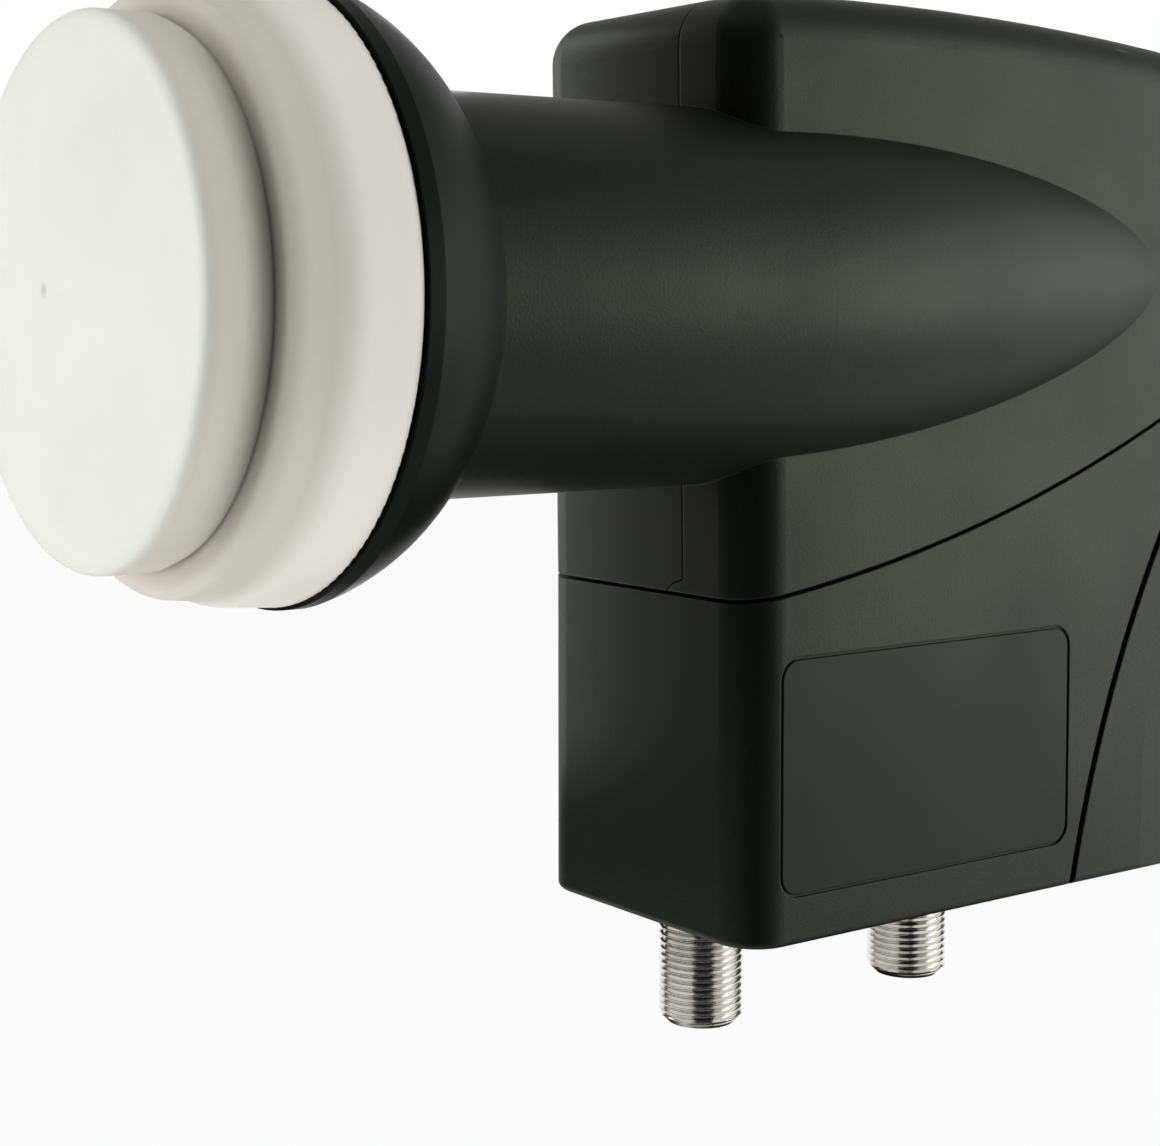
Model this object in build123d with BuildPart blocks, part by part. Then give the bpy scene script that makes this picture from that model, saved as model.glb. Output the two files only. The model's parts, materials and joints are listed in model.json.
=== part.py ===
"""Satellite LNB with a 40 mm clamp neck, two threaded outputs and a sliding weather shield.

Millimetres. The origin is on the feed axis at the middle of the clamp neck.
The feed looks along -Y, +Z is up, and the bullet fairing is on the +X side.
"""

import os

from build123d import *

os.makedirs("parts", exist_ok=True)

# Clamp neck and housing box
neck_r = 20.0
neck_front_y = -18.2
wall = 2.2
near_x = 10.85
far_x = -25.85
front_y = 19.0
front_lean = 0.8
rear_y = 91.0
top_z = 31.3
top_fall = 2.0
top_crown = 1.4
corner_r = 5.0
seam_gap = 0.2
tongue_w = 2.5
tongue_h = 1.3
tongue_tip_in = 0.9
tongue_tip_h = 0.75
trim = 10.0

# Parting line between the housing and the shield
part_front_z = -31.6
part_front_fall = 1.0
part_mid_in = 34.0
part_mid_z = -25.2
part_rear_z = -11.0
part_rear_rise = 5.0
part_gap = 0.45
shoulder_h = 3.0

# Bullet fairing: an ogive about an axis that rises a little to the rear
bullet_in = 2.0
bullet_rise = 2.4
bullet_mid_r = 15.45
bullet_tail = 20.0
bullet_end_r = 10.2
bullet_end_in = 6.0

# Weather shield and the inner sleeve that it slides on
shield_bottom_z = -68.8
shield_wall = 1.8
slide_gap = 0.35
slide_travel = 24.0
sleeve_wall = 1.6
sleeve_up = 2.8
floor_t = 2.0
lug_w = 5.0
lug_h = 2.4
lug_out = 1.2
lug_gap = 0.4
lug_up = 3.6
label_in = 4.4
label_w = 44.9
label_up = 5.2
label_h = 25.7
label_r = 2.5
label_depth = 0.3
groove_w = 0.95
groove_depth = 0.7
groove_foot_in = 22.0
groove_mid_in = 14.8
groove_mid_up = 23.5
groove_top_in = 1.5
groove_top_up = 48.8
grip_w = 9.6
grip_h = 34.4
grip_slope = 0.08
bottom_edge_r = 0.8

# Feed cap, seal and shroud, from the front end of the neck
bowl_len = 14.2
shroud_gap = 0.25
shroud_over = 0.3
shroud_band = 1.6
shroud_wall = 1.9
shroud_bulge = 1.61
shroud_end = 3.8
shroud_ledge = 2.0
shroud_ledge_t = 2.2
cap_r = 29.1
cap_len = 18.1
cap_wall = 1.6
cap_dome = 0.9
cap_edge_r = 1.0
cap_nose = 6.5
cap_groove_w = 1.4
cap_groove_d = 0.55
cap_step_h = 2.5
cap_step_r = 1.3
cap_mid_len = 3.9
cap_mid_taper = 0.45
cap_cove_r = 6.0
cap_ridge_len = 2.2
cap_ridge_h = 0.75
cap_ridge_r = 1.0
cap_rim_taper = 0.4
cap_rim_edge = 0.3
cap_skirt = 1.8
cap_fit = 0.1
flange_in = 5.0
flange_out = 1.5
seal_r = 0.95
seal_in = 1.6

# Feed horn and waveguide
guide_r = 8.75
guide_wall = 2.0
guide_tail = 10.0
guide_back = 3.0
aperture_gap = 1.1
horn_len = 31.5
lip_gap = 2.0
lip_t = 2.4
ring_gap = 0.9
ring_t = 1.8
ring_front_gap = 0.7
horn_web = 3.0
horn_rib = 3.0
horn_back_in = 2.0
horn_neck = 1.5
rib_y = 0.0
rib_t = 2.5
rib_fit = 0.15

# Circuit tray and board
tray_gap = 0.45
tray_top_gap = 2.2
tray_depth = 6.1
tray_floor_t = 2.5
tray_wall = 2.2
tray_bottom_t = 4.0
well_h = 16.0
well_out = 8.4
well_floor_t = 2.0
boss_r = 2.7
boss_edge = 0.2
boss_low_up = 2.0
gasket_t = 0.7
cover_t = 1.5
cover_gap = 2.3
cover_screw_r = 1.25
cover_screw_tip = 1.0
cover_head_r = 2.3
cover_head_h = 1.2
cover_head_edge = 0.4
pcb_t = 0.8
pcb_edge = 0.6
pcb_up = 1.0
chip_w = 5.0
chip_h = 0.9
chip_edge = 0.15
chip_dy = 6.5
chip_dz = 7.0
crystal_l = 4.0
crystal_w = 2.6
crystal_h = 1.0
crystal_r = 0.4
crystal_dy = 5.0
crystal_dz = 3.0
reg_l = 6.5
reg_w = 3.5
reg_h = 1.6
reg_edge = 0.25
reg_dy = 17.0
can_r = 2.0
can_h = 4.6
can_edge = 0.3
can_dz = 10.0

# Probes
probe_r = 0.6
probe_in = 12.8
probe_pitch = 7.5
septum_r = 1.0
sleeve_r = 2.0
sleeve_over = 0.5
probe_tip_x = -1.5
probe_b_tip_z = 5.5
bend_r = 1.5
solder_r = 1.2
solder_h = 0.6
pin_fit = 0.05

# Connectors
conn_r = 4.7
conn_off = 3.0
conn_gap = 0.35
conn_pitch = 32.9
conn_len = 16.2
conn_wall = 1.3
conn_edge = 0.9
conn_step = 1.0
conn_flange_h = 3.4
conn_relief = 0.3
conn_relief_end = 0.8
conn_spigot_in = 0.5
conn_spigot_end = 0.5
conn_recess = 1.4
insulator_up = 1.5
contact_r = 1.1
contact_hole_r = 0.55
contact_hole_h = 8.0
contact_sink = 0.7
contact_leg_up = 4.5
contact_wire_r = 0.5
flat_seal_t = 0.6
floor_hole_fit = 0.4

# Housing screws and support posts
hscrew_drop = 3.7
hscrew_in0 = 12.0
hscrew_in1 = 14.0
hscrew_r = 1.5
hscrew_tip = 3.1
hscrew_head_r = 2.8
hscrew_head_h = 2.0
hscrew_head_edge = 0.6
hscrew_seat = 2.4
cross_w = 0.7
cross_l = 2.8
cross_h = 1.0
hboss_r = 3.4
post_r = 3.0
post_up = 8.0
post_in0 = 16.8
post_in1 = 14.8
post_top_in = 3.8

# Housing, sleeve and parting sizes that follow from those above
body_w = near_x - far_x
body_d = rear_y - front_y
mid_x = (near_x + far_x) / 2
mid_y = (front_y + rear_y) / 2
top_rear_z = top_z - top_fall
top_mid_z = top_z - top_fall / 2 + top_crown
sleeve_in = shield_wall + slide_gap
cavity_in = sleeve_in + sleeve_wall
sleeve_bottom_z = shield_bottom_z + sleeve_up
floor_top_z = sleeve_bottom_z + floor_t
lug_z = sleeve_bottom_z + lug_up
part_mid_y = front_y + part_mid_in
part_a = (front_y - trim, part_front_z - part_front_fall)
part_b = (part_mid_y, part_mid_z)
part_c = (rear_y + trim, part_rear_z + part_rear_rise)
bullet_y = front_y + bullet_in
bullet_end_s = rear_y - bullet_y - bullet_end_in
bullet_mid_s = bullet_end_s - bullet_tail

# Cap, shroud and horn
rim_y = neck_front_y - bowl_len - shroud_gap
cap_face_y = rim_y - cap_len
cap_step_y = cap_face_y + cap_nose
cap_step_in_y = cap_step_y + cap_wall
cap_cove_y = cap_step_y + cap_mid_len
cap_ridge_y = cap_cove_y + cap_ridge_len
cap_rim_r0 = cap_r - cap_rim_taper
cap_mid_r1 = cap_rim_r0 - cap_ridge_h
cap_mid_r0 = cap_mid_r1 - cap_mid_taper
cap_face_r = cap_mid_r0 - cap_step_h
flange_r = cap_r - cap_skirt - cap_fit
flange_front_y = rim_y - flange_in
flange_rear_y = rim_y + flange_out
seal_y = rim_y - seal_in
shroud_r = cap_r + shroud_over
shroud_bore_r = neck_r - shroud_end
shroud_ledge_r = flange_r - shroud_ledge
aperture_y = cap_face_y + cap_wall + aperture_gap
throat_y = aperture_y + horn_len
lip_r = cap_face_r - cap_wall - lip_gap
aperture_r = lip_r - lip_t
ring_out_r = cap_mid_r0 - cap_wall - ring_gap
ring_in_r = ring_out_r - ring_t
ring_y = cap_step_in_y + ring_front_gap
horn_rib_r = flange_r - horn_rib
horn_back_r = aperture_r - horn_back_in
horn_neck_y = throat_y + horn_neck
guide_out_r = guide_r + guide_wall

# Screws, tray and board
hscrew_z = top_rear_z - hscrew_drop
hscrew_places = [(front_y + hscrew_in0, hscrew_z), (rear_y - hscrew_in1, hscrew_z)]
hscrew_len = near_x - wall - hscrew_tip - far_x - hscrew_seat
tray_y0 = front_y + cavity_in + tray_gap
tray_y1 = rear_y - cavity_in - tray_gap
tray_top_z = hscrew_z - hboss_r - tray_top_gap
tray_bottom_z = floor_top_z + flat_seal_t + conn_flange_h
cover_out_x = far_x + cavity_in + cover_gap
cover_in_x = cover_out_x + cover_t
tray_rim_x = cover_in_x + gasket_t
tray_floor_in_x = tray_rim_x + tray_depth
tray_floor_x = tray_floor_in_x + tray_floor_t
pcb_x = tray_floor_in_x - pcb_t
well_x = tray_floor_x + well_out
well_top_z = tray_bottom_z + well_h
boss_in = boss_r + boss_edge
boss_low_z = well_top_z + boss_low_up
pcb_z0 = tray_bottom_z + tray_bottom_t + pcb_up
probe_a_y = tray_y0 + probe_in
septum_y = probe_a_y + probe_pitch
probe_b_y = septum_y + probe_pitch
guide_end_y = probe_b_y + guide_tail
post_z = well_top_z + post_up
post_places = [(tray_y0 + post_in0, post_z), (tray_y1 - post_in1, post_z)]
post_top_places = [((tray_y0 + tray_y1) / 2, tray_top_z - post_top_in)]

# Connectors
conn_flange_r = conn_r + conn_step
conn_spigot_r = conn_r - conn_spigot_in
conn_bore_r = conn_r - conn_wall
conn_relief_r = conn_r - conn_relief
conn_thread_z = sleeve_bottom_z - conn_relief_end
conn_x = tray_floor_in_x + conn_off
conn_y0 = front_y + cavity_in + conn_gap + conn_flange_r
conn_y1 = conn_y0 + conn_pitch
conn_tip_z = sleeve_bottom_z - conn_len
conn_places = [(conn_x, conn_y0), (conn_x, conn_y1)]
flange_top_z = tray_bottom_z
seal_top_z = flange_top_z - conn_flange_h
contact_leg_z = pcb_z0 + contact_leg_up
contact_tip_z = conn_tip_z + conn_recess + contact_sink
solder_places = [(conn_y0, contact_leg_z), (conn_y1, contact_leg_z)]

# Outer form of the upper housing, a leaning box with rounded edges
lean = front_lean / (top_z - part_front_z)
foot_z = part_front_z - trim
with BuildPart() as upper_form:
    with BuildSketch(Plane.YZ.offset(far_x)):
        with BuildLine():
            foot = Line((rear_y, foot_z), (front_y + lean * trim, foot_z))
            nose = Line(foot @ 1, (front_y - front_lean, top_z))
            crown = ThreePointArc(nose @ 1, (mid_y, top_mid_z), (rear_y, top_rear_z))
            Line(crown @ 1, foot @ 0)
        make_face()
    extrude(amount=body_w)
    upright = upper_form.edges().filter_by(Axis.Z, tolerance=2)
    top_edges = upper_form.faces().sort_by(Axis.Z)[-1].edges()
    fillet(upright + top_edges, corner_r)

# Space above the parting line, and the same space lifted by the shoulder height
with BuildPart() as above_parting:
    with BuildSketch(Plane.YZ.offset(far_x - trim)):
        with BuildLine():
            curve = ThreePointArc(part_a, part_b, part_c)
            Polyline(
                curve @ 1, (part_c[0], top_z + trim), (part_a[0], top_z + trim), curve @ 0
            )
        make_face()
    extrude(amount=body_w + 2 * trim)

with BuildPart() as below_parting:
    with BuildSketch(Plane.YZ.offset(far_x - trim)):
        with BuildLine():
            curve_low = ThreePointArc(
                (part_a[0], part_a[1] - part_gap),
                (part_b[0], part_b[1] - part_gap),
                (part_c[0], part_c[1] - part_gap),
            )
            low_z = shield_bottom_z - trim
            Polyline(curve_low @ 1, (part_c[0], low_z), (part_a[0], low_z), curve_low @ 0)
        make_face()
    extrude(amount=body_w + 2 * trim)

# Hollow of the upper housing
with BuildPart() as upper_hollow:
    with BuildSketch(Plane.YZ.offset(far_x + wall)):
        with BuildLine():
            low = ThreePointArc(
                (front_y + wall, part_front_z + shoulder_h),
                (part_mid_y, part_mid_z + shoulder_h),
                (rear_y - wall, part_rear_z + shoulder_h),
            )
            Polyline(
                low @ 1,
                (rear_y - wall, top_rear_z - wall),
                (front_y + wall, top_z - wall),
                low @ 0,
            )
        make_face()
    extrude(amount=body_w - 2 * wall)
    fillet(upper_hollow.edges().filter_by(Axis.Z, tolerance=2), corner_r - wall)

# Inner sleeve that the shield slides on, with its floor and the connector holes
with BuildPart() as sleeve_form:
    with BuildSketch(Plane.XY.offset(sleeve_bottom_z)):
        with Locations((mid_x, mid_y)):
            RectangleRounded(body_w - 2 * sleeve_in, body_d - 2 * sleeve_in, corner_r - sleeve_in)
    extrude(amount=-sleeve_bottom_z)

with BuildPart() as sleeve_hollow:
    with BuildSketch(Plane.XY.offset(floor_top_z)):
        with Locations((mid_x, mid_y)):
            RectangleRounded(
                body_w - 2 * cavity_in, body_d - 2 * cavity_in, corner_r - cavity_in
            )
    extrude(amount=-floor_top_z)
    with BuildSketch(Plane.XY.offset(sleeve_bottom_z)):
        with Locations(*conn_places):
            Circle(conn_r + floor_hole_fit)
    extrude(amount=floor_t)

# Bullet fairing over the waveguide and the hollow under it
bullet_plane = Plane(origin=(0, bullet_y, 0), x_dir=(1, 0, 0), z_dir=(0, 0, 1)).rotated(
    (bullet_rise, 0, 0)
)
bullet_axis = Axis(bullet_plane.origin, bullet_plane.y_dir)
with BuildPart() as bullet_form:
    with BuildSketch(bullet_plane):
        with BuildLine():
            ogive = ThreePointArc(
                (neck_r, 0), (bullet_mid_r, bullet_mid_s), (bullet_end_r, bullet_end_s)
            )
            Polyline(ogive @ 1, (0, bullet_end_s), (0, 0), ogive @ 0)
        make_face()
    revolve(axis=bullet_axis)

with BuildPart() as bullet_hollow:
    with BuildSketch(bullet_plane):
        with BuildLine():
            ogive_in = ThreePointArc(
                (neck_r - wall, -wall),
                (bullet_mid_r - wall, bullet_mid_s),
                (bullet_end_r - wall, bullet_end_s - wall),
            )
            Polyline(ogive_in @ 1, (0, bullet_end_s - wall), (0, -wall), ogive_in @ 0)
        make_face()
    revolve(axis=bullet_axis)

# Whole housing before it is split into its two halves
with BuildPart() as housing:
    add(upper_form.part)
    add(above_parting.part, mode=Mode.INTERSECT)
    with BuildPart(mode=Mode.PRIVATE) as sleeve_cut:
        add(sleeve_form.part)
        with BuildSketch(Plane.YZ.offset(far_x - trim)):
            with BuildLine():
                lift_curve = ThreePointArc(
                    (part_a[0], part_a[1] + shoulder_h),
                    (part_b[0], part_b[1] + shoulder_h),
                    (part_c[0], part_c[1] + shoulder_h),
                )
                Polyline(
                    lift_curve @ 1,
                    (part_c[0], top_z + trim),
                    (part_a[0], top_z + trim),
                    lift_curve @ 0,
                )
            make_face()
        extrude(amount=body_w + 2 * trim, mode=Mode.SUBTRACT)
    add(sleeve_cut.part)
    with BuildSketch(Plane.XZ.offset(-neck_front_y)):
        Circle(neck_r)
    extrude(amount=neck_front_y - bullet_y - wall / 2)
    add(bullet_form.part)
    add(upper_hollow.part, mode=Mode.SUBTRACT)
    add(sleeve_hollow.part, mode=Mode.SUBTRACT)
    add(bullet_hollow.part, mode=Mode.SUBTRACT)
    with BuildSketch(Plane.XZ.offset(-neck_front_y)):
        Circle(neck_r - wall)
    extrude(amount=neck_front_y - bullet_y - wall / 2, mode=Mode.SUBTRACT)
    # Ring rib that carries the waveguide
    with BuildSketch(Plane.XZ.offset(-rib_y)):
        Circle(neck_r - wall / 2)
        Circle(guide_out_r + rib_fit, mode=Mode.SUBTRACT)
    extrude(amount=-rib_t)

# Small tongue of the near half, let into the far half at the foot of the front seam
tongue_z = part_front_z - trim
tongue_y = front_y + wall / 2
with BuildPart() as tongue:
    with BuildSketch(Plane.XZ.offset(-tongue_y)) as tongue_sketch:
        with BuildLine():
            Polyline(
                (seam_gap, tongue_z),
                (-tongue_w, tongue_z),
                (-tongue_w, part_front_z),
                (tongue_tip_in - tongue_w, part_front_z + tongue_tip_h),
                (seam_gap, part_front_z + tongue_h),
                close=True,
            )
        make_face()
    extrude(amount=trim)

with BuildPart() as tongue_slot:
    with BuildSketch(Plane.XZ.offset(-tongue_y - seam_gap)):
        offset(tongue_sketch.sketch_local, amount=seam_gap)
    extrude(amount=trim)

# Near half, with the posts that reach the chassis and the blind screw bosses
with BuildPart() as housing_near:
    add(housing.part)
    split(bisect_by=Plane.YZ.offset(seam_gap / 2), keep=Keep.TOP)
    with BuildPart():
        add(housing.part)
        add(tongue.part, mode=Mode.INTERSECT)
    with BuildSketch(Plane.YZ.offset(tray_floor_x)):
        with Locations(*post_places):
            Circle(post_r)
    extrude(amount=near_x - sleeve_in - tray_floor_x - sleeve_wall / 2)
    with BuildSketch(Plane.YZ.offset(tray_floor_x)):
        with Locations(*post_top_places):
            Circle(post_r)
    extrude(amount=near_x - wall / 2 - tray_floor_x)
    with BuildSketch(Plane.YZ):
        with Locations(*hscrew_places):
            Circle(hboss_r)
    extrude(amount=near_x - wall / 2)
    with BuildSketch(Plane.YZ):
        with Locations(*hscrew_places):
            Circle(hscrew_r + pin_fit)
    extrude(amount=near_x - wall, mode=Mode.SUBTRACT)
housing_near.part.label = "housing_near"
export_step(housing_near.part, "parts/housing_near.step")

# Far half, with its posts, the screw holes and the two stop lugs of the shield
with BuildPart() as housing_far:
    add(housing.part)
    split(bisect_by=Plane.YZ.offset(-seam_gap / 2), keep=Keep.BOTTOM)
    add(tongue_slot.part, mode=Mode.SUBTRACT)
    with BuildSketch(Plane.YZ.offset(cover_out_x)):
        with Locations(*post_places):
            Circle(post_r)
    extrude(amount=far_x + sleeve_in + sleeve_wall / 2 - cover_out_x)
    with BuildSketch(Plane.YZ.offset(cover_out_x)):
        with Locations(*post_top_places):
            Circle(post_r)
    extrude(amount=far_x + wall / 2 - cover_out_x)
    with BuildSketch(Plane.YZ):
        with Locations(*hscrew_places):
            Circle(hboss_r)
    extrude(amount=far_x + wall / 2)
    with BuildSketch(Plane.YZ):
        with Locations(*hscrew_places):
            Circle(hscrew_r + pin_fit)
    extrude(amount=far_x, mode=Mode.SUBTRACT)
    with BuildSketch(Plane.YZ.offset(far_x)):
        with Locations(*hscrew_places):
            Circle(hscrew_head_r + floor_hole_fit)
    extrude(amount=hscrew_seat, mode=Mode.SUBTRACT)
    with BuildSketch(Plane.XY.offset(lug_z)):
        with Locations((mid_x, front_y + sleeve_in), (mid_x, rear_y - sleeve_in)):
            Rectangle(lug_w, 2 * lug_out)
    extrude(amount=-lug_h)
housing_far.part.label = "housing_far"
export_step(housing_far.part, "parts/housing_far.step")

# Screws that hold the halves together
with BuildPart() as housing_screws:
    with BuildSketch(Plane.YZ.offset(far_x + hscrew_seat)):
        with Locations(*hscrew_places):
            Circle(hscrew_head_r)
    extrude(amount=-hscrew_head_h)
    fillet(housing_screws.edges().group_by(Axis.X)[0], hscrew_head_edge)
    with BuildSketch(Plane.YZ.offset(far_x + hscrew_seat)):
        with Locations(*hscrew_places):
            Circle(hscrew_r)
    extrude(amount=hscrew_len)
    with BuildSketch(Plane.YZ.offset(far_x + hscrew_seat - hscrew_head_h)):
        with Locations(*hscrew_places):
            Rectangle(cross_l, cross_w)
            Rectangle(cross_w, cross_l)
    extrude(amount=cross_h, mode=Mode.SUBTRACT)
housing_screws.part.label = "housing_screws"
export_step(housing_screws.part, "parts/housing_screws.step")

# Weather shield: an open sleeve under the parting curve
with BuildPart() as weather_shield:
    with BuildSketch(Plane.XY.offset(shield_bottom_z)):
        with Locations((mid_x, mid_y)):
            RectangleRounded(body_w, body_d, corner_r)
    extrude(amount=-shield_bottom_z)
    fillet(weather_shield.edges().group_by(Axis.Z)[0], bottom_edge_r)
    with BuildSketch(Plane.XY.offset(shield_bottom_z)):
        with Locations((mid_x, mid_y)):
            RectangleRounded(
                body_w - 2 * shield_wall, body_d - 2 * shield_wall, corner_r - shield_wall
            )
    extrude(amount=-shield_bottom_z, mode=Mode.SUBTRACT)
    add(below_parting.part, mode=Mode.INTERSECT)
    # Tracks for the stop lugs, closed at the top
    with BuildSketch(Plane.XY.offset(shield_bottom_z)):
        with Locations((mid_x, front_y + sleeve_in), (mid_x, rear_y - sleeve_in)):
            Rectangle(lug_w + 2 * lug_gap, 2 * (lug_out + lug_gap))
    extrude(amount=lug_z + slide_travel + lug_gap - shield_bottom_z, mode=Mode.SUBTRACT)
    # Bare label recess on the near side
    with BuildSketch(Plane.YZ.offset(near_x)):
        with Locations((front_y + label_in, shield_bottom_z + label_up)):
            RectangleRounded(label_w, label_h, label_r, align=(Align.MIN, Align.MIN))
    extrude(amount=-label_depth, mode=Mode.SUBTRACT)
    # Styling groove on both sides
    for side_x, into in ((near_x, -groove_depth), (far_x, groove_depth)):
        with BuildSketch(Plane.YZ.offset(side_x)):
            with BuildLine():
                ThreePointArc(
                    (rear_y - groove_foot_in, shield_bottom_z - groove_w),
                    (rear_y - groove_mid_in, shield_bottom_z + groove_mid_up),
                    (rear_y - groove_top_in, shield_bottom_z + groove_top_up),
                )
            trace(line_width=groove_w)
        extrude(amount=into, mode=Mode.SUBTRACT)
    # Tapered finger grip behind the groove on both sides
    for side_x, out in ((near_x, 1), (far_x, -1)):
        proud_x = side_x + out * shield_wall
        end_y = rear_y + shield_wall
        with BuildPart(mode=Mode.SUBTRACT):
            for t in (-0.03, 0.4, 0.7, 0.95):
                crease_y = rear_y - grip_w * (1 - t**4)
                with BuildSketch(Plane.XY.offset(shield_bottom_z + t * grip_h)):
                    with BuildLine():
                        Polyline(
                            (proud_x, crease_y - shield_wall / grip_slope),
                            (proud_x, end_y),
                            (side_x - out * grip_slope * (end_y - crease_y), end_y),
                            close=True,
                        )
                    make_face()
            loft()
weather_shield.part.label = "weather_shield"
export_step(weather_shield.part, "parts/weather_shield.step")

# Feed cap: a shallow dome, a stepped side with a fine groove, and a soft ridge
with BuildPart() as feed_cap:
    with BuildSketch(Plane.XY) as cap_profile:
        with BuildLine():
            dome = ThreePointArc(
                (0, cap_face_y - cap_dome),
                (cap_face_r / 2, cap_face_y - cap_dome * 0.75),
                (cap_face_r, cap_face_y),
            )
            Polyline(
                dome @ 1,
                (cap_face_r, cap_step_y - cap_groove_w),
                (cap_face_r - cap_groove_d, cap_step_y),
                (cap_mid_r0, cap_step_y),
                (cap_mid_r1, cap_cove_y),
                (cap_rim_r0, cap_ridge_y),
                (cap_r, rim_y),
                (flange_r + cap_fit, rim_y),
                (flange_r + cap_fit, flange_front_y),
                (cap_mid_r0 - cap_wall, flange_front_y),
                (cap_mid_r0 - cap_wall, cap_step_in_y),
                (cap_face_r - cap_wall, cap_step_in_y),
                (cap_face_r - cap_wall, cap_face_y + cap_wall),
                (0, cap_face_y + cap_wall),
                (0, cap_face_y - cap_dome),
            )
        make_face()
        for place, radius in (
            ((cap_face_r, cap_face_y), cap_edge_r),
            ((cap_mid_r0, cap_step_y), cap_step_r),
            ((cap_mid_r1, cap_cove_y), cap_cove_r),
            ((cap_rim_r0, cap_ridge_y), cap_ridge_r),
            ((cap_r, rim_y), cap_rim_edge),
        ):
            fillet(cap_profile.vertices().sort_by_distance((*place, 0))[0], radius)
    revolve(axis=Axis.Y)
feed_cap.part.label = "feed_cap"
export_step(feed_cap.part, "parts/feed_cap.step")

# Seal ring in the flange groove
with BuildPart() as cap_seal:
    with BuildSketch(Plane.XY):
        with Locations((flange_r + cap_fit - seal_r, seal_y)):
            Circle(seal_r)
    revolve(axis=Axis.Y)
cap_seal.part.label = "cap_seal"
export_step(cap_seal.part, "parts/cap_seal.step")

# Shroud between cap and neck
with BuildPart() as horn_shroud:
    with BuildSketch(Plane.XY):
        with BuildLine():
            shroud_front_y = rim_y + shroud_gap
            band_y = shroud_front_y + shroud_band
            bowl = SagittaArc((shroud_r, band_y), (neck_r, neck_front_y), -shroud_bulge)
            inner = SagittaArc(
                (neck_r - shroud_wall / 3, neck_front_y - shroud_wall),
                (shroud_r - 1.35 * shroud_wall, flange_rear_y + shroud_ledge_t),
                shroud_bulge,
            )
            Polyline(
                bowl @ 1,
                (shroud_bore_r, neck_front_y),
                (shroud_bore_r, neck_front_y - shroud_wall),
                inner @ 0,
            )
            Polyline(
                inner @ 1,
                (shroud_ledge_r, flange_rear_y + shroud_ledge_t),
                (shroud_ledge_r, flange_rear_y),
                (flange_r + slide_gap, flange_rear_y),
                (flange_r + slide_gap, shroud_front_y),
                (shroud_r, shroud_front_y),
                bowl @ 0,
            )
        make_face()
    revolve(axis=Axis.Y)
horn_shroud.part.label = "horn_shroud"
export_step(horn_shroud.part, "parts/horn_shroud.step")

# Chassis casting: horn, waveguide, tray and connector well
boss_places = [
    (tray_y0 + boss_in, tray_top_z - boss_in),
    (tray_y1 - boss_in, tray_top_z - boss_in),
    (tray_y0 + boss_in, (tray_top_z + boss_low_z) / 2),
    (tray_y1 - boss_in, (tray_top_z + boss_low_z) / 2),
    (tray_y0 + boss_in, boss_low_z),
    (tray_y1 - boss_in, boss_low_z),
    ((conn_y0 + conn_y1) / 2, tray_bottom_z + boss_in),
]
tray_mid = ((tray_y0 + tray_y1) / 2, (tray_top_z + tray_bottom_z) / 2)
tray_size = (tray_y1 - tray_y0, tray_top_z - tray_bottom_z)
hollow_z0 = tray_bottom_z + tray_bottom_t
hollow_z1 = tray_top_z - tray_wall
hollow_mid = (tray_mid[0], (hollow_z0 + hollow_z1) / 2)
hollow_size = (tray_size[0] - 2 * tray_wall, hollow_z1 - hollow_z0)
well_in_z1 = well_top_z - tray_wall
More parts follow.
